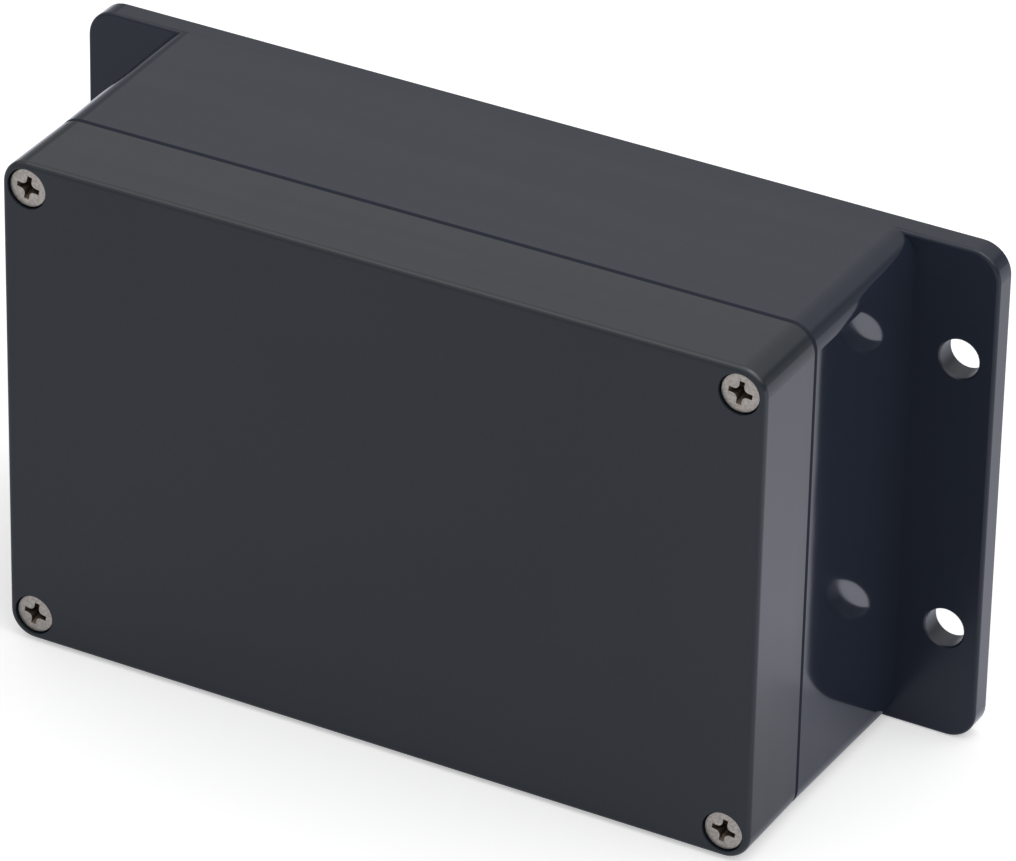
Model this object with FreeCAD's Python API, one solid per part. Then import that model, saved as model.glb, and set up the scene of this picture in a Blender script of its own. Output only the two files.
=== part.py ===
import FreeCAD, Part
import math
import os

# A flanged plastic project box, standing on one of its long sides as in the photograph.
# X runs along its length, -Y is the lid side and +Z is up. The origin lies on the standing
# surface, below the middle of the whole box, ears included. All sizes are in millimetres.

Vector = FreeCAD.Vector

# Outer shell
body_length = 100.0
body_width = 65.0
body_depth = 40.0
lid_depth = 12.3
wall = 2.6
lid_face = 2.6
corner_radius = 3.3
lid_edge_radius = 0.75
base_draft_deg = 0.8
parting_edge = 0.35

# Mounting flange: one plate that closes the base and reaches past both ends as ears
flange_thickness = 3.0
ear_reach = 11.0
ear_corner_radius = 3.7
ear_edge_radius = 0.45
ear_hole_radius = 2.5
ear_hole_from_end = 4.6
ear_hole_from_side = 14.3
ear_hole_chamfer = 0.2

# Corner columns, which take the lid screws
screw_inset = 3.4
column_radius = 4.6

# Seal: a groove in the lid's rim, a rubber ring at its bottom and a tongue on the base
groove_width = 1.2
groove_depth = 2.0
groove_from_inside = 0.7
gasket_thickness = 0.8
gasket_side_clearance = 0.05
tongue_side_clearance = 0.1
tongue_gasket_clearance = 0.05

# Lid screws: M3 countersunk, cross recess, the head just below the lid's face
screw_radius = 1.5
screw_length = 20.0
head_radius = 2.45
head_rim = 0.25
head_sink = 0.4
recess_span = 3.0
recess_arm_width = 0.8
recess_depth = 1.5
recess_bottom_span = 1.3
recess_bottom_width = 0.5
well_clearance = 0.15
screw_hole_clearance = 0.2

# Brass inserts in the base's columns
insert_radius = 2.0
insert_length = 6.0
insert_recess = 0.2
insert_clearance = 0.02
thread_clearance = 0.05
screw_end_room = 1.5

# Posts for a circuit board, on the floor of the base
post_from_end = 14.0
post_from_side = 13.5
post_radius = 2.6
post_height = 5.0
post_hole_radius = 1.0
post_hole_depth = 4.0

# Places that follow from the sizes
front_y = -body_depth / 2
back_y = body_depth / 2
parting_y = front_y + lid_depth
floor_y = back_y - flange_thickness
draft_slope = math.tan(math.radians(base_draft_deg))
draft_growth = (floor_y - parting_y) * draft_slope
edge_growth = parting_edge * draft_slope
half_length = body_length / 2
half_width = body_width / 2
flange_half_length = half_length + ear_reach
flange_half_width = half_width + draft_growth
middle_z = flange_half_width
screw_x = half_length - screw_inset
screw_z = half_width - screw_inset
head_y = front_y + head_sink
screw_tip_y = head_y + screw_length
screw_hole_radius = screw_radius + screw_hole_clearance
insert_y = parting_y + insert_recess
ear_hole_x = flange_half_length - ear_hole_from_end
ear_hole_z = half_width - ear_hole_from_side
post_x = half_length - post_from_end
post_z = half_width - post_from_side
CORNERS = {
    "top_left": (-1, 1),
    "top_right": (1, 1),
    "bottom_left": (-1, -1),
    "bottom_right": (1, -1),
}


def outline(half_x, half_z, radius, y):
    """A closed rounded rectangle across the box at depth y."""
    edges = []
    right, top = half_x - radius, half_z - radius
    spots = [(right, top, 0), (-right, top, 90), (-right, -top, 180), (right, -top, 270)]
    points = []
    for x, z, start in spots:
        arc = []
        for angle in (start, start + 45, start + 90):
            turn = math.radians(angle)
            arc.append(Vector(x + radius * math.cos(turn), y, middle_z + z + radius * math.sin(turn)))
        points.append(arc)
    for index, arc in enumerate(points):
        edges.append(Part.Arc(*arc).toShape())
        edges.append(Part.makeLine(arc[2], points[(index + 1) % 4][0]))
    return Part.Wire(edges)


def rectangle(half_x, half_z, y):
    points = [Vector(side_x * half_x, y, middle_z + side_z * half_z)
              for side_x, side_z in ((1, 1), (-1, 1), (-1, -1), (1, -1))]
    return Part.makePolygon(points + points[:1])


def prism(half_x, half_z, radius, y_start, y_end):
    face = Part.Face(outline(half_x, half_z, radius, y_start))
    return face.extrude(Vector(0, y_end - y_start, 0))


def block(half_x, half_z, y_start, y_end):
    corner = Vector(-half_x, y_start, middle_z - half_z)
    return Part.makeBox(2 * half_x, y_end - y_start, 2 * half_z, corner)


def rod(x, z, radius, y_start, y_end):
    return Part.makeCylinder(radius, y_end - y_start, Vector(x, y_start, z), Vector(0, 1, 0))


def turned(x, z, profile):
    """Turn a closed profile of (radius, y) points about the axis along Y at x, z."""
    points = [Vector(x + radius, y, z) for radius, y in profile]
    face = Part.Face(Part.makePolygon(points + points[:1]))
    return face.revolve(Vector(x, 0, z), Vector(0, 1, 0), 360)


def screw_axes():
    """The four screw axes as name, x and z."""
    axes = []
    for name, (side_x, side_z) in CORNERS.items():
        axes.append((name, side_x * screw_x, middle_z + side_z * screw_z))
    return axes


def edges_at(solid, y):
    """The edges that lie flat in the plane at depth y."""
    return [edge for edge in solid.Edges if all(abs(v.Y - y) < 1e-6 for v in edge.Vertexes)]


def columns(radius, y_start, y_end):
    """Corner columns: round towards the middle of the box, square towards its walls."""
    solids = []
    depth = y_end - y_start
    for side_x, side_z in CORNERS.values():
        x, z = side_x * screw_x, side_z * screw_z
        reach_x, reach_z = half_length - screw_x, half_width - screw_z
        solids.append(rod(x, middle_z + z, radius, y_start, y_end))
        for inner_x, inner_z in ((0, radius), (radius, 0)):
            low_x = min(x - side_x * inner_x, x + side_x * reach_x)
            low_z = min(z - side_z * inner_z, z + side_z * reach_z)
            corner = Vector(low_x, y_start, middle_z + low_z)
            solids.append(Part.makeBox(reach_x + inner_x, depth, reach_z + inner_z, corner))
    return solids[0].multiFuse(solids[1:]).removeSplitter()


def hollow(grow, y_start, y_end):
    """The straight hollow inside the walls and columns, grown outwards by grow."""
    space = block(half_length - wall + grow, half_width - wall + grow, y_start, y_end)
    return space.cut(columns(column_radius - grow, y_start, y_end))


def rim_band(inner, outer, y_start, y_end):
    """A band that follows the wall and passes inside the screws."""
    return hollow(outer, y_start, y_end).cut(hollow(inner, y_start, y_end))


def make_lid():
    shell = prism(half_length, half_width, corner_radius, front_y, parting_y)
    shell = shell.makeFillet(lid_edge_radius, edges_at(shell, front_y))
    shell = shell.makeChamfer(parting_edge, edges_at(shell, parting_y))
    shell = shell.cut(hollow(0, front_y + lid_face, parting_y))
    groove = rim_band(groove_from_inside, groove_from_inside + groove_width,
                      parting_y - groove_depth, parting_y)
    shell = shell.cut(groove)
    well_radius = head_radius + well_clearance
    seat_y = head_y + head_rim
    seat_end_y = seat_y + well_radius - screw_hole_radius
    wells = []
    for _, x, z in screw_axes():
        wells.append(turned(x, z, [
            (0, front_y - 1),
            (well_radius, front_y - 1),
            (well_radius, seat_y),
            (screw_hole_radius, seat_end_y),
            (screw_hole_radius, parting_y + 1),
            (0, parting_y + 1),
        ]))
    return shell.cut(wells)


def make_base():
    # The walls open out a little towards the flange, so that they release from the mould. The
    # bevel of their rim meets the lid's in the groove where the box opens
    rim = outline(half_length - parting_edge, half_width - parting_edge,
                  corner_radius - parting_edge, parting_y)
    shoulder = outline(half_length + edge_growth, half_width + edge_growth, corner_radius,
                       parting_y + parting_edge)
    foot = outline(half_length + draft_growth, half_width + draft_growth, corner_radius, floor_y)
    walls = Part.makeLoft([rim, shoulder, foot], True, True)
    heel = prism(half_length + draft_growth, flange_half_width, corner_radius, floor_y, back_y)
    plate = prism(flange_half_length, flange_half_width, ear_corner_radius, floor_y, back_y)
    plate = plate.makeFillet(ear_edge_radius, edges_at(plate, floor_y))
    shell = walls.fuse([heel, plate]).removeSplitter()

    # The columns fill the hollow's corners, so it needs no corner radius of its own
    rim_inside = rectangle(half_length - wall, half_width - wall, parting_y)
    foot_inside = rectangle(half_length - wall + draft_growth, half_width - wall + draft_growth, floor_y)
    space = Part.makeLoft([rim_inside, foot_inside], True, True)
    space = space.cut(columns(column_radius, parting_y, floor_y))
    shell = shell.cut(space)

    tongue_height = groove_depth - gasket_thickness - tongue_gasket_clearance
    tongue = rim_band(groove_from_inside + tongue_side_clearance,
                      groove_from_inside + groove_width - tongue_side_clearance,
                      parting_y - tongue_height, parting_y)
    posts = []
    holes = []
    for side_x, side_z in CORNERS.values():
        x, z = side_x * post_x, middle_z + side_z * post_z
        posts.append(rod(x, z, post_radius, floor_y - post_height, floor_y))
        holes.append(rod(x, z, post_hole_radius, floor_y - post_height,
                         floor_y - post_height + post_hole_depth))
    shell = shell.fuse([tongue] + posts)

    for _, x, z in screw_axes():
        seat_end_y = insert_y + insert_length
        holes.append(rod(x, z, insert_radius + insert_clearance, parting_y, seat_end_y))
        holes.append(rod(x, z, screw_hole_radius, parting_y, screw_tip_y + screw_end_room))
    for side_x, side_z in CORNERS.values():
        x, z = side_x * ear_hole_x, middle_z + side_z * ear_hole_z
        wide = ear_hole_radius + ear_hole_chamfer
        holes.append(turned(x, z, [
            (0, floor_y),
            (wide, floor_y),
            (ear_hole_radius, floor_y + ear_hole_chamfer),
            (ear_hole_radius, back_y),
            (0, back_y),
        ]))
    return shell.cut(holes).removeSplitter()


def make_gasket():
    bottom_y = parting_y - groove_depth
    return rim_band(groove_from_inside + gasket_side_clearance,
                    groove_from_inside + groove_width - gasket_side_clearance,
                    bottom_y, bottom_y + gasket_thickness).removeSplitter()


def recess_arm(x, z, along_x):
    """One tapered arm of the cross recess."""
    sections = []
    for span, width, y in ((recess_span, recess_arm_width, head_y),
                           (recess_bottom_span, recess_bottom_width, head_y + recess_depth)):
        half_x, half_z = (span / 2, width / 2) if along_x else (width / 2, span / 2)
        points = [Vector(x + sx * half_x, y, z + sz * half_z)
                  for sx, sz in ((1, 1), (-1, 1), (-1, -1), (1, -1))]
        sections.append(Part.makePolygon(points + points[:1]))
    return Part.makeLoft(sections, True, True)


def make_screw(x, z):
    rim_y = head_y + head_rim
    neck_y = rim_y + head_radius - screw_radius
    body = turned(x, z, [
        (0, head_y),
        (head_radius, head_y),
        (head_radius, rim_y),
        (screw_radius, neck_y),
        (screw_radius, screw_tip_y),
        (0, screw_tip_y),
    ])
    return body.cut([recess_arm(x, z, True), recess_arm(x, z, False)])


def make_insert(x, z):
    bore = screw_radius + thread_clearance
    end_y = insert_y + insert_length
    return turned(x, z, [(bore, insert_y), (insert_radius, insert_y), (insert_radius, end_y), (bore, end_y)])


def all_parts():
    parts = {
        "enclosure_base": make_base(),
        "enclosure_lid": make_lid(),
        "lid_gasket": make_gasket(),
    }
    for name, x, z in screw_axes():
        parts["lid_screw_" + name] = make_screw(x, z)
        parts["thread_insert_" + name] = make_insert(x, z)
    return parts


def main():
    os.makedirs("parts", exist_ok=True)
    for name, shape in all_parts().items():
        solid = shape.Solids[0]
        box = solid.BoundBox
        print(name, "solids", len(shape.Solids), "valid", shape.isValid(),
              "volume %.1f" % shape.Volume,
              "x %.2f..%.2f y %.2f..%.2f z %.2f..%.2f" % (box.XMin, box.XMax, box.YMin,
                                                         box.YMax, box.ZMin, box.ZMax))
        solid.exportStep("parts/" + name + ".step")


main()
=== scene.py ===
# %% [markdown]
# # A plastic project box, dressed for its picture
#
# The object is a small moulded box for electronics, standing on one of its long sides. It has two
# plastic shells, a deep lid and a base with mounting ears, held together by four steel screws. The
# shells' shapes are already exact, so this lesson is about three things: giving plain black plastic
# a surface worth looking at, making small metal parts that hold up close to the camera, and lighting
# dark glossy plastic, which shows its surroundings more than its own colour.

# %% Load the shapes
import math
import bpy
import bmesh
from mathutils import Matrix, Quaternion, Vector


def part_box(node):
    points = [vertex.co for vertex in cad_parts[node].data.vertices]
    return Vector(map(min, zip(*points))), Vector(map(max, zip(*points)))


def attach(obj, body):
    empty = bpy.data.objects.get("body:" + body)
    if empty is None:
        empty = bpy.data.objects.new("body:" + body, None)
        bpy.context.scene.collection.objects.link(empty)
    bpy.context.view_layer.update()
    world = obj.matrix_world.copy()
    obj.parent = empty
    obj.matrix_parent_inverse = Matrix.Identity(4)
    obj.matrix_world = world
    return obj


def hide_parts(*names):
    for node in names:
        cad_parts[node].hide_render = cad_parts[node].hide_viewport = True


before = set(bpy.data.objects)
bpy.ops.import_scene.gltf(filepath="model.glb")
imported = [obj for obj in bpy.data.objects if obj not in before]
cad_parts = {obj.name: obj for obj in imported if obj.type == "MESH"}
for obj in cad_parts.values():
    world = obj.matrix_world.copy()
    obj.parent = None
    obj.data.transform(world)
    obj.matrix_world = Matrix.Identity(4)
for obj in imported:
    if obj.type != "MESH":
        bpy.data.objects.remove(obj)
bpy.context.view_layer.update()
mm = 0.001
CORNERS = ("top_left", "top_right", "bottom_left", "bottom_right")
print("nodes:", sorted(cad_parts))

# %% [markdown]
# The main places are read from the shapes themselves, so the finishes and the metal parts stay in
# place if the box is made larger. The box's depth runs along Y: the lid's face is at the lowest Y,
# then comes the parting line where lid and base meet, then the front of the ears and the flat back.
# A few small sizes can't be read off a piece's outer box, such as how thick the ears are and where
# their holes lie. They are written as numbers further down, each with a name.

# %% Read the main places
lid_low, lid_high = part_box("enclosure_lid")
base_low, base_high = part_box("enclosure_base")
face_y = lid_low[1]
parting_y = lid_high[1]
back_y = base_high[1]
half_length = lid_high[0]
ear_end_x = base_high[0]
middle_z = (base_low[2] + base_high[2]) / 2
print("lid depth %.1f mm" % ((parting_y - face_y) / mm), "over the ears %.1f mm" % (2 * ear_end_x / mm))

# %% [markdown]
# ## Camera
#
# The picture was taken with a long lens from the upper right. A long lens keeps parallel edges
# almost parallel, which is why the box hardly narrows towards its far end. The camera is placed by
# its angles round the box and its distance, because those are what a photographer would change.

# %% Place the camera
camera_azimuth = math.radians(28.28)
camera_elevation = math.radians(30.40)
camera_roll = math.radians(1.18)
camera_distance = 0.8676
camera_aim = Vector((0.0052, 0.00305, 0.0333))

camera_data = bpy.data.cameras.new("product_camera")
camera_data.lens = 261.3
camera_data.sensor_width = 36
camera = bpy.data.objects.new("product_camera", camera_data)
bpy.context.scene.collection.objects.link(camera)
away = Vector((math.sin(camera_azimuth) * math.cos(camera_elevation),
               -math.cos(camera_azimuth) * math.cos(camera_elevation),
               math.sin(camera_elevation)))
camera.location = camera_aim + away * camera_distance
camera.rotation_mode = "QUATERNION"
camera.rotation_quaternion = (-away).to_track_quat("-Z", "Y") @ Quaternion((0, 0, 1), camera_roll)
bpy.context.scene.camera = camera
bpy.context.scene.view_settings.view_transform = "Standard"
print("camera at", [round(value, 3) for value in camera.location])

# %% [markdown]
# ## A short way to write materials
#
# A procedural material is a small graph of nodes. Written out in full it takes a dozen lines a node,
# so one helper makes a node, sets its values and plugs in what feeds it. A value that is an output
# socket becomes a link, and anything else is set as a number or colour.

# %% Material helpers
def start_material(name):
    material = bpy.data.materials.new(name)
    material.use_nodes = True
    return material, material.node_tree.nodes["Principled BSDF"]


def feed(node, **values):
    """Set a node's inputs by name, with spaces written as underscores."""
    for name, value in values.items():
        socket = node.inputs[name.replace("_", " ")]
        if isinstance(value, bpy.types.NodeSocket):
            node.id_data.links.new(value, socket)
        else:
            socket.default_value = value
    return node


def math_node(tree, operation, first, second=0.0):
    node = tree.nodes.new("ShaderNodeMath")
    node.operation = operation
    for socket, value in zip(node.inputs, (first, second)):
        if isinstance(value, bpy.types.NodeSocket):
            tree.links.new(value, socket)
        else:
            socket.default_value = value
    return node.outputs[0]


def ramp(tree, value, low, high, low_value=0.0, high_value=1.0):
    """Map a value from one range to another, held at both ends."""
    node = tree.nodes.new("ShaderNodeMapRange")
    feed(node, Value=value, From_Min=low, From_Max=high, To_Min=low_value, To_Max=high_value)
    return node.outputs[0]


def place(tree, stretch=(1, 1, 1)):
    """Object coordinates in millimetres, stretched along each axis."""
    coordinates = tree.nodes.new("ShaderNodeTexCoord")
    mapping = tree.nodes.new("ShaderNodeMapping")
    feed(mapping, Vector=coordinates.outputs["Object"], Scale=[value / mm for value in stretch])
    return mapping.outputs[0]


def noise(tree, where, scale, detail=2.0):
    node = tree.nodes.new("ShaderNodeTexNoise")
    feed(node, Vector=where, Scale=scale, Detail=detail)
    return node.outputs["Fac"]


def split(tree, vector):
    node = tree.nodes.new("ShaderNodeSeparateXYZ")
    tree.links.new(vector, node.inputs[0])
    return node.outputs


def vary(tree, pattern, low_value, high_value):
    """Spread a noise pattern, which mostly lies between 0.3 and 0.7, over a range of values."""
    return ramp(tree, pattern, 0.3, 0.7, low_value, high_value)


def bump(tree, height, depth):
    """Depth is the real height of the relief, in metres."""
    node = tree.nodes.new("ShaderNodeBump")
    feed(node, Height=height, Distance=depth)
    return node.outputs[0]


def blend_value(tree, factor, first, second):
    node = tree.nodes.new("ShaderNodeMix")
    feed(node, Factor=factor, A=first, B=second)
    return node.outputs["Result"]


def blend_colour(tree, factor, first, second):
    """Each colour is three numbers or the output of another node."""
    node = tree.nodes.new("ShaderNodeMix")
    node.data_type = "RGBA"
    ends = [end if isinstance(end, bpy.types.NodeSocket) else (*end, 1) for end in (first, second)]
    feed(node, Factor=factor, A=ends[0], B=ends[1])
    return node.outputs["Result"]


print("material helpers ready")

# %% [markdown]
# ## Moulded plastic
#
# Both shells come out of polished steel moulds, but the toolmaker spark-erodes the lid's face to a
# fine even grain that hides scratches. So one plastic has two finishes: matte grain on the face, and
# a glossy skin on the walls that still carries faint flow lines along the way the part was pulled.
# The finish is chosen by depth, from a mask that fades over the lid's rounded edge, so that no line
# shows where one becomes the other. The ears' fronts have the same grain, only lighter.
#
# Two small places have a finish of their own. The bevels of both rims, where the mould closes, are
# never polished, so they are dull, and the line between lid and base stays dark all the way round.
# The ear holes are formed by plain pins, so their walls are satin.
#
# Glossy walls also show their shape. A moulded wall is never quite flat: it bows by a degree or so
# as it cools, and that moves what it mirrors. The bow is a plain slope along the depth, far too small
# to see on the outline, so it belongs in the relief and not in the shape.

# %% Plastic finishes
grain_past_face = 0.3 * mm
rim_bevel = 0.35 * mm
relief_depth = 0.012 * mm
ear_thickness = 3.0 * mm
ear_front_y = back_y - ear_thickness
ear_start_x = half_length + 0.3 * mm
ear_hole_x = ear_end_x - 4.6 * mm
ear_hole_z = 18.2 * mm
ear_hole_radius = 2.5 * mm
rim_roughness, rim_shine = 0.5, 0.3
hole_roughness, hole_shine = 0.35, 0.85
wall_shine = (0.475, 0.525)


def in_ear_holes(tree, where):
    """1 on the walls of the four ear holes and 0 elsewhere."""
    x, _, z = split(tree, where)
    across = math_node(tree, "SUBTRACT", math_node(tree, "ABSOLUTE", x), ear_hole_x / mm)
    from_middle = math_node(tree, "SUBTRACT", z, middle_z / mm)
    up = math_node(tree, "SUBTRACT", math_node(tree, "ABSOLUTE", from_middle), ear_hole_z / mm)
    squares = math_node(tree, "ADD", math_node(tree, "MULTIPLY", across, across),
                        math_node(tree, "MULTIPLY", up, up))
    from_axis = math_node(tree, "SQRT", squares)
    wall_at = ear_hole_radius / mm
    fade_from, fade_to = wall_at + 0.05, wall_at + 0.15
    return ramp(tree, from_axis, fade_from, fade_to, 1.0, 0.0)


def on_grained_face(tree, where, grain_depths, grain_beyond_x):
    """1 where the mould is grained and 0 elsewhere, with soft borders of 0.1 to 0.25 mm."""
    x, y, _ = split(tree, where)
    start_y, end_y = [depth / mm for depth in grain_depths]
    past_start = ramp(tree, y, start_y - 0.1, start_y)
    before_end = ramp(tree, y, end_y - 0.25, end_y, 1.0, 0.0)
    start_x = grain_beyond_x / mm
    beyond = ramp(tree, math_node(tree, "ABSOLUTE", x), start_x - 0.2, start_x)
    return math_node(tree, "MULTIPLY", math_node(tree, "MULTIPLY", past_start, before_end), beyond)


def on_rim_bevels(tree, where):
    """1 on the two bevels that meet at the parting line and 0 elsewhere."""
    past_line = math_node(tree, "SUBTRACT", split(tree, where)["Y"], parting_y / mm)
    from_line = math_node(tree, "ABSOLUTE", past_line)
    return ramp(tree, from_line, rim_bevel / mm - 0.05, rim_bevel / mm, 1.0, 0.0)


def moulded_plastic(name, colours, wall_roughness, face_roughness, grain_depths, grain_beyond_x,
                    bow_degrees, reflectance):
    """Walls and grained faces differ in roughness; grain_depths is the faces' range of depth."""
    material, surface = start_material(name)
    tree = material.node_tree
    where = place(tree)
    on_face = on_grained_face(tree, where, grain_depths, grain_beyond_x)
    on_rim = on_rim_bevels(tree, where)
    in_hole = in_ear_holes(tree, where)

    clouds = noise(tree, where, 0.06, 3.0)
    colour = blend_colour(tree, clouds, *colours)

    flow = noise(tree, place(tree, (0.9, 0.05, 0.02)), 1.0, 4.0)
    wall_finish = vary(tree, flow, wall_roughness - 0.015, wall_roughness + 0.03)
    face_finish = vary(tree, noise(tree, where, 1.3), face_roughness - 0.03, face_roughness + 0.03)
    finish = blend_value(tree, on_face, wall_finish, face_finish)
    finish = blend_value(tree, on_rim, finish, rim_roughness)
    finish = blend_value(tree, in_hole, finish, hole_roughness)

    streaks = noise(tree, place(tree, (0.012, 0.35, 0.012)), 1.0, 3.0)
    shine = blend_value(tree, on_rim, vary(tree, streaks, *wall_shine), rim_shine)
    shine = blend_value(tree, in_hole, shine, hole_shine)

    grain = math_node(tree, "MULTIPLY", noise(tree, where, 5.0, 3.0), on_face)
    ripple = math_node(tree, "MULTIPLY", noise(tree, where, 0.12, 1.0), 0.5)
    slope = -math.tan(math.radians(bow_degrees)) * mm / relief_depth
    bow = math_node(tree, "MULTIPLY", split(tree, where)["Y"], slope)
    height = math_node(tree, "ADD", math_node(tree, "ADD", grain, ripple), bow)
    feed(surface, Base_Color=colour, Roughness=finish, IOR=reflectance, Specular_IOR_Level=shine,
         Normal=bump(tree, height, relief_depth))
    return material


lid_colours = ((0.0090, 0.0136, 0.0192), (0.0111, 0.0162, 0.0230))
base_colours = ((0.0132, 0.0178, 0.0303), (0.0155, 0.0207, 0.0346))
lid_face = (face_y - 1 * mm, face_y + grain_past_face)
ear_face = (ear_front_y - 0.05 * mm, ear_front_y + 0.45 * mm)
lid_plastic = moulded_plastic("lid_plastic", lid_colours, wall_roughness=0.11, face_roughness=0.48,
                              grain_depths=lid_face, grain_beyond_x=0.0, bow_degrees=0.0,
                              reflectance=1.485)
base_plastic = moulded_plastic("base_plastic", base_colours, wall_roughness=0.06, face_roughness=0.2,
                               grain_depths=ear_face, grain_beyond_x=ear_start_x, bow_degrees=1.2,
                               reflectance=1.40)

# %% [markdown]
# ## Steel, brass and rubber
#
# The screws are plain stainless steel, tumbled in a drum after they were made, which leaves a fine
# uneven grain and a slightly patchy tone. The recess is stamped and sees little light, and it is given a
# darker, browner steel as painted shade. Brass inserts and the seal only show when the lid is off.

# %% Metal and rubber finishes
def tumbled_metal(name, colour, roughness, grain_depth):
    """Bare metal with a patchy tone and a fine uneven grain."""
    material, surface = start_material(name)
    tree = material.node_tree
    where = place(tree)
    patches = ramp(tree, noise(tree, where, 2.4, 5.0), 0.38, 0.62)
    darker, lighter = [[part * share for part in colour] for share in (0.78, 1.05)]
    tone = blend_colour(tree, patches, darker, lighter)
    finish = vary(tree, noise(tree, where, 3.0, 3.0), roughness - 0.06, roughness + 0.08)
    relief = bump(tree, noise(tree, where, 2.4, 3.0), grain_depth)
    feed(surface, Base_Color=tone, Metallic=1.0, Roughness=finish, Normal=relief)
    return material


def soft_rubber(name):
    material, surface = start_material(name)
    tree = material.node_tree
    where = place(tree)
    black, charcoal = (0.012, 0.012, 0.013), (0.022, 0.022, 0.023)
    tone = blend_colour(tree, noise(tree, where, 0.8), black, charcoal)
    finish = vary(tree, noise(tree, where, 2.0), 0.62, 0.78)
    relief = bump(tree, noise(tree, where, 6.0), 0.01 * mm)
    feed(surface, Base_Color=tone, Roughness=finish, Normal=relief)
    return material


screw_steel = tumbled_metal("screw_steel", (0.53, 0.49, 0.425), roughness=0.42, grain_depth=0.008 * mm)
# Painted shade: the recess is coloured darker than the head, for the shade inside it.
recess_steel_painted_shade = tumbled_metal("recess_steel_painted_shade", (0.17, 0.13, 0.105), roughness=0.55, grain_depth=0.006 * mm)
insert_brass = tumbled_metal("insert_brass", (0.72, 0.53, 0.24), roughness=0.28, grain_depth=0.003 * mm)
gasket_rubber = soft_rubber("gasket_rubber")
print("finishes:", [material.name for material in bpy.data.materials])


def paint(node, material):
    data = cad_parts[node].data
    data.materials.clear()
    data.materials.append(material)


paint("enclosure_base", base_plastic)
paint("enclosure_lid", lid_plastic)
paint("lid_gasket", gasket_rubber)

# %% [markdown]
# ## Lid screws
#
# A countersunk machine screw is a turned part, so its outline is drawn once as a row of points from
# the middle of the head to the tip, and spun round the axis. A real head isn't razor sharp: it has a
# small round at its rim, and that thin bright ring is what makes it read as metal. The thread is the
# same operator with a small step along the axis added to each turn. The cross recess is cut out with
# a tapered cross, as the punch does it, and the punch's four inner corners are well rounded.

# %% Screw helpers
screw_low, screw_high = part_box("lid_screw_top_right")
head_radius = (screw_high[0] - screw_low[0]) / 2
thread_radius = 1.5 * mm
thread_depth = 0.28 * mm
thread_pitch = 0.5 * mm
thread_stops_before_tip = 0.5 * mm
thread_steps_per_turn = 20
core_radius = thread_radius - thread_depth
head_rim = 0.25 * mm
rim_round = 0.09 * mm
tip_length, tip_taper = 0.4 * mm, 0.35 * mm
recess_half_span = 1.56 * mm
recess_half_width = 0.34 * mm
recess_corner = 0.64 * mm
recess_shoulder = 0.6 * mm
recess_depth = 1.5 * mm
AROUND = 64


def finished(bm, name, materials):
    """Close the mesh, point its faces outwards and give it an object at the origin."""
    bmesh.ops.remove_doubles(bm, verts=bm.verts, dist=1e-7)
    bmesh.ops.recalc_face_normals(bm, faces=bm.faces)
    mesh = bpy.data.meshes.new(name)
    bm.to_mesh(mesh)
    bm.free()
    for material in materials:
        mesh.materials.append(material)
    piece = bpy.data.objects.new(name, mesh)
    bpy.context.scene.collection.objects.link(piece)
    return piece


def soften(bm, sharp_degrees=28):
    """Shade smoothly, but keep every edge crisp that bends more than the given angle."""
    for face in bm.faces:
        face.smooth = True
    for edge in bm.edges:
        bend = edge.calc_face_angle(0) if len(edge.link_faces) == 2 else math.pi
        edge.smooth = bend < math.radians(sharp_degrees)


def spun(profile, steps=AROUND):
    """A bmesh of a (radius, y) profile spun once about the Y axis."""
    bm = bmesh.new()
    points = [bm.verts.new((radius, y, 0)) for radius, y in profile]
    edges = [bm.edges.new(pair) for pair in zip(points, points[1:])]
    bmesh.ops.spin(bm, geom=points + edges, cent=(0, 0, 0), axis=(0, 1, 0), angle=math.tau,
                   steps=steps, use_merge=True)
    bmesh.ops.remove_doubles(bm, verts=bm.verts, dist=1e-7)
    return bm


def arc(centre, radius, start, end, steps):
    """Points on an arc as (radius, y) pairs, for the rounds in a profile."""
    turns = [math.radians(start + (end - start) * step / steps) for step in range(steps + 1)]
    return [(centre[0] + radius * math.cos(turn), centre[1] + radius * math.sin(turn)) for turn in turns]


print("screw head %.1f mm across" % (2 * head_radius / mm))

# %% Model one screw at the origin
def screw_body(length):
    """The turned blank: head, countersink and shank, without recess or thread."""
    neck_y = head_rim + head_radius - core_radius
    rim = arc((head_radius - rim_round, rim_round), rim_round, -90, 0, 4)
    profile = [(0, 0)] + rim + [(head_radius, head_rim), (core_radius, neck_y),
                                (core_radius, length - tip_length),
                                (core_radius - tip_taper, length), (0, length)]
    return spun(profile), neck_y


def add_thread(bm, start_y, end_y):
    """Wind a ridge with a narrow crest round the shank, rooted just inside it."""
    turns = (end_y - start_y) / thread_pitch
    steps = int(turns * thread_steps_per_turn)
    root = core_radius - 0.02 * mm
    half_root = thread_pitch * 0.42
    half_crest = half_root * 0.15
    ridge = [(root, -half_root), (thread_radius, -half_crest),
             (thread_radius, half_crest), (root, half_root)]
    points = [bm.verts.new((radius, start_y + y, 0)) for radius, y in ridge]
    edges = [bm.edges.new(pair) for pair in zip(points, points[1:] + points[:1])]
    bm.faces.new(points)
    made = bmesh.ops.spin(bm, geom=points + edges, cent=(0, 0, 0), axis=(0, 1, 0),
                          angle=math.tau * turns, steps=steps,
                          dvec=(0, (end_y - start_y) / steps, 0))
    last_edges = [item for item in made["geom_last"] if isinstance(item, bmesh.types.BMEdge)]
    bmesh.ops.contextual_create(bm, geom=last_edges)


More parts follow.
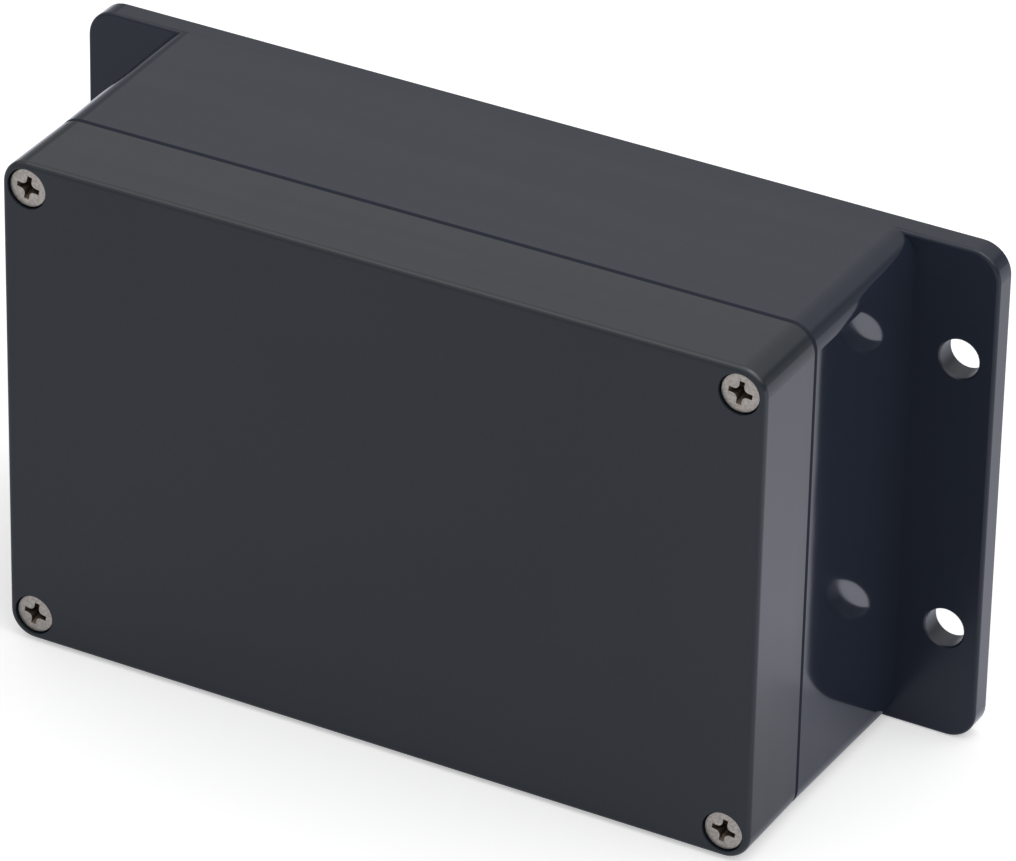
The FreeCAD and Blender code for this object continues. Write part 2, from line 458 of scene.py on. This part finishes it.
def cross_punch():
    """The tapered cross that stamps the recess, rounded in its four inner corners."""
    bm = bmesh.new()
    above_head = 0.1 * mm
    quarter = [(recess_half_span, recess_half_width), (recess_half_width, recess_half_width),
               (recess_half_width, recess_half_span)]
    points = []
    for cosine, sine in ((1, 0), (0, 1), (-1, 0), (0, -1)):
        for x, z in quarter:
            points.append(bm.verts.new((x * cosine - z * sine, -above_head, x * sine + z * cosine)))
    bm.faces.new(points)
    inner_corners = points[1::3]
    bmesh.ops.bevel(bm, geom=inner_corners, offset=recess_corner, affect="VERTICES", segments=6,
                    profile=0.5, material=-1)
    end = list(bm.faces)
    drops = (above_head + recess_shoulder, recess_depth - recess_shoulder)
    for step_down, narrower in zip(drops, (0.77, 0.53)):
        end = bmesh.ops.extrude_discrete_faces(bm, faces=end)["faces"]
        tip = list(end[0].verts)
        bmesh.ops.translate(bm, verts=tip, vec=(0, step_down, 0))
        bmesh.ops.scale(bm, verts=tip, vec=(narrower, 1, narrower))
    bmesh.ops.holes_fill(bm, edges=bm.edges, sides=0)
    return bm


def screw_mesh(name, length):
    """Stamp the recess into the blank, then roll the thread on."""
    bm, neck_y = screw_body(length)
    head = finished(bm, name, [screw_steel, recess_steel_painted_shade])
    punch = finished(cross_punch(), name + "_punch", [recess_steel_painted_shade])
    cut = head.modifiers.new("recess", "BOOLEAN")
    cut.object = punch
    cut.operation = "DIFFERENCE"
    cut.solver = "EXACT"
    cut.use_self = True
    cut.material_mode = "TRANSFER"
    graph = bpy.context.evaluated_depsgraph_get()
    stamped = bpy.data.meshes.new_from_object(head.evaluated_get(graph))
    bpy.data.objects.remove(head)
    bpy.data.objects.remove(punch)
    bm = bmesh.new()
    bm.from_mesh(stamped)
    add_thread(bm, neck_y + thread_pitch, length - thread_stops_before_tip)
    bmesh.ops.recalc_face_normals(bm, faces=bm.faces)
    soften(bm)
    bm.to_mesh(stamped)
    bm.free()
    stamped.name = name
    return stamped


screw_length = screw_high[1] - screw_low[1]
one_screw = screw_mesh("screw_form", screw_length)
print("screw faces:", len(one_screw.polygons))

# %% Set the four screws in place
SCREW_TURNS = {"top_left": 10, "top_right": 8, "bottom_left": 12, "bottom_right": 10}
for corner in CORNERS:
    low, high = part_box("lid_screw_" + corner)
    mesh = one_screw.copy()
    mesh.name = "screw_" + corner
    turn = Quaternion((0, 1, 0), math.radians(SCREW_TURNS[corner])).to_matrix().to_4x4()
    mesh.transform(turn)
    for vert in mesh.vertices:
        vert.co += Vector(((low[0] + high[0]) / 2, low[1], (low[2] + high[2]) / 2))
    screw = bpy.data.objects.new("screw_" + corner, mesh)
    bpy.context.scene.collection.objects.link(screw)
    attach(screw, "screw_" + corner)
    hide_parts("lid_screw_" + corner)
    print(screw.name, "head at", [round(value / mm, 1) for value in low])

# %% [markdown]
# ## Brass inserts
#
# An insert is a short brass sleeve pressed hot into the plastic. Its two knurled bands bite into the
# column and the waist between them stops it pulling out. The knurl is a ring of shallow ridges:
# every second line of points round the sleeve is pushed in a little.

# %% Model the inserts
KNURL_LINES = 72
knurl_share = 0.965
bore = thread_radius + 0.05 * mm
waist_depth = 0.25 * mm
chamfer = 0.15 * mm

for corner in CORNERS:
    name = "thread_insert_" + corner
    low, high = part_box(name)
    radius = (high[0] - low[0]) / 2
    length = high[1] - low[1]
    waist = radius - waist_depth
    bm = spun([(bore, chamfer), (bore + chamfer, 0), (radius - chamfer, 0), (radius, chamfer),
               (radius, length * 0.4), (waist, length * 0.42), (waist, length * 0.58),
               (radius, length * 0.6), (radius, length), (bore, length), (bore, chamfer)], KNURL_LINES)
    for vert in bm.verts:
        line = math.atan2(vert.co.z, vert.co.x) / math.tau * KNURL_LINES
        outside = math.hypot(vert.co.x, vert.co.z) > radius - 0.01 * mm
        if outside and round(line) % 2:
            vert.co.x *= knurl_share
            vert.co.z *= knurl_share
    middle = ((low[0] + high[0]) / 2, low[1], (low[2] + high[2]) / 2)
    bmesh.ops.translate(bm, verts=bm.verts, vec=middle)
    insert = finished(bm, "insert_" + corner, [insert_brass])
    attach(insert, "base")
    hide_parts(name)
print("inserts made")

# %% [markdown]
# ## Floor, backdrop and light
#
# Dark glossy plastic is lit by what it mirrors. A plain white surround gives each side of the box its
# own grey by its angle alone, which is how the picture looks. Real studios aren't evenly white, though:
# below the soft light overhead the room is darker, and that darker band is what draws the soft dark
# stripe down every rounded corner. So the surround is pure white to the camera, and in reflections it
# is bright overhead, with a dark band under it that fades towards the horizon. It is brightest straight
# up. Only a rounded edge turns far enough to mirror that, and it shows as a thin light line.
#
# Each row of numbers below is a gradient: where it starts and ends, and its strength at both. In the
# surround a place is a height, 0 at the horizon and 1 straight up. On the floor it is in millimetres.

# %% White surround
ROOM = (0.0, 0.3, 0.50, 0.32)
OVERHEAD = (0.34, 0.47, 0.0, 0.42)
STRAIGHT_UP = (0.75, 0.95, 0.0, 1.3)
strength_on_matte = 0.7

world = bpy.data.worlds.new("white_surround")
bpy.context.scene.world = world
world.use_nodes = True
tree = world.node_tree
background = tree.nodes["Background"]
path = tree.nodes.new("ShaderNodeLightPath")
direction = tree.nodes.new("ShaderNodeTexCoord").outputs["Generated"]
height = split(tree, direction)["Z"]
in_reflections = path.outputs["Is Glossy Ray"]
ceiling = math_node(tree, "ADD", ramp(tree, height, *OVERHEAD), ramp(tree, height, *STRAIGHT_UP))
whole_room = math_node(tree, "ADD", ramp(tree, height, *ROOM), ceiling)
mirrored = math_node(tree, "MULTIPLY", in_reflections, whole_room)
seen = math_node(tree, "MAXIMUM", path.outputs["Is Camera Ray"], path.outputs["Is Transmission Ray"])
others = math_node(tree, "SUBTRACT", 1.0, math_node(tree, "MAXIMUM", seen, in_reflections))
on_matte = math_node(tree, "MULTIPLY", others, strength_on_matte)
feed(background, Color=(1, 1, 1, 1),
     Strength=math_node(tree, "ADD", math_node(tree, "ADD", seen, mirrored), on_matte))
print("surround ready")

# %% [markdown]
# The floor is pale and keeps the box's soft shadow. In the walls' reflections it glows with painted
# light and
# painted shade: dim close to the box, where the box itself blocks the light, a little brighter in front,
# and brightest behind to the right, where the main light falls. Further off it fades a little again.
# Painted shade makes it darkest in the corner between a side wall and its ear, which little light gets
# into, and the glow seen in reflections is painted a faint blue.

# %% Pale floor
BEHIND_RISING = (-4.0, 51.0, 0.0, 0.55)
BEHIND_FAR_AWAY = (55.0, 105.0, 0.0, 0.13)
IN_FRONT = (-24.0, -14.0, 0.27, 0.03)
ear_y = ear_front_y / mm
TOWARDS_EAR = (ear_y - 27.0, ear_y - 9.0, 0.0, 0.22)
CLOSE_TO_EAR = (ear_y - 8.0, ear_y + 0.5, 0.0, 0.37)
PAST_EAR = (ear_y, ear_y + 3.0, 1.0, 0.0)
BESIDE_WALL = (50.0, 68.0, 1.0, 0.0)
glow_for_camera = 0.40

bm = bmesh.new()
bmesh.ops.create_grid(bm, x_segments=1, y_segments=1, size=3.0)
floor_material, floor_surface = start_material("pale_floor")
tree = floor_material.node_tree
path = tree.nodes.new("ShaderNodeLightPath")
spot = split(tree, place(tree))
towards_back = math_node(tree, "ADD", math_node(tree, "MULTIPLY", spot["X"], 0.4),
                         math_node(tree, "MULTIPLY", spot["Y"], 0.75))
# Painted light: in reflections the floor glows, rising behind to the right and brighter in front.
behind = math_node(tree, "SUBTRACT", ramp(tree, towards_back, *BEHIND_RISING),
                   ramp(tree, towards_back, *BEHIND_FAR_AWAY))
painted_glow_around_box = math_node(tree, "ADD", behind, ramp(tree, spot["Y"], *IN_FRONT))

# Painted shade: this mask darkens the floor's glow and white in reflections in the corner between a side
# wall and its ear.
towards_ear = math_node(tree, "ADD", ramp(tree, spot["Y"], *TOWARDS_EAR),
                        ramp(tree, spot["Y"], *CLOSE_TO_EAR))
before_ear = math_node(tree, "MULTIPLY", towards_ear, ramp(tree, spot["Y"], *PAST_EAR))
beside_wall = ramp(tree, math_node(tree, "ABSOLUTE", spot["X"]), *BESIDE_WALL)
painted_corner_shade = math_node(tree, "MULTIPLY", before_ear, beside_wall)
outside_painted_corner_shade = math_node(tree, "SUBTRACT", 1.0, painted_corner_shade)

in_reflections = path.outputs["Is Glossy Ray"]
painted_mirrored_glow = math_node(tree, "MULTIPLY", painted_glow_around_box, outside_painted_corner_shade)
seen_glow = math_node(tree, "MULTIPLY", path.outputs["Is Camera Ray"], glow_for_camera)
glow = math_node(tree, "ADD", seen_glow, math_node(tree, "MULTIPLY", in_reflections, painted_mirrored_glow))
# Painted reflection colour: the glow seen in reflections is tinted blue.
tint = blend_colour(tree, in_reflections, (1, 1, 1), (0.96, 0.97, 1.14))
mirrored_white_with_painted_shade = blend_colour(tree, painted_corner_shade, (0.5, 0.5, 0.53), (0, 0, 0))
whiteness = blend_colour(tree, in_reflections, (0.82, 0.82, 0.82), mirrored_white_with_painted_shade)
feed(floor_surface, Base_Color=whiteness, Roughness=1.0, Specular_IOR_Level=0.0,
     Emission_Color=tint, Emission_Strength=glow)
floor = finished(bm, "floor", [floor_material])


def soft_lamp(name, place_at, aim, size, power):
    data = bpy.data.lights.new(name, "AREA")
    data.shape = "DISK"
    data.size = size
    data.energy = power
    lamp = bpy.data.objects.new(name, data)
    lamp.location = place_at
    lamp.rotation_euler = (Vector(aim) - Vector(place_at)).to_track_quat("-Z", "Y").to_euler()
    bpy.context.scene.collection.objects.link(lamp)


soft_lamp("key_light", place_at=(0.6, -0.1, 1.25), aim=(0, 0, 0.03), size=1.5, power=7.0)
print("stage ready")
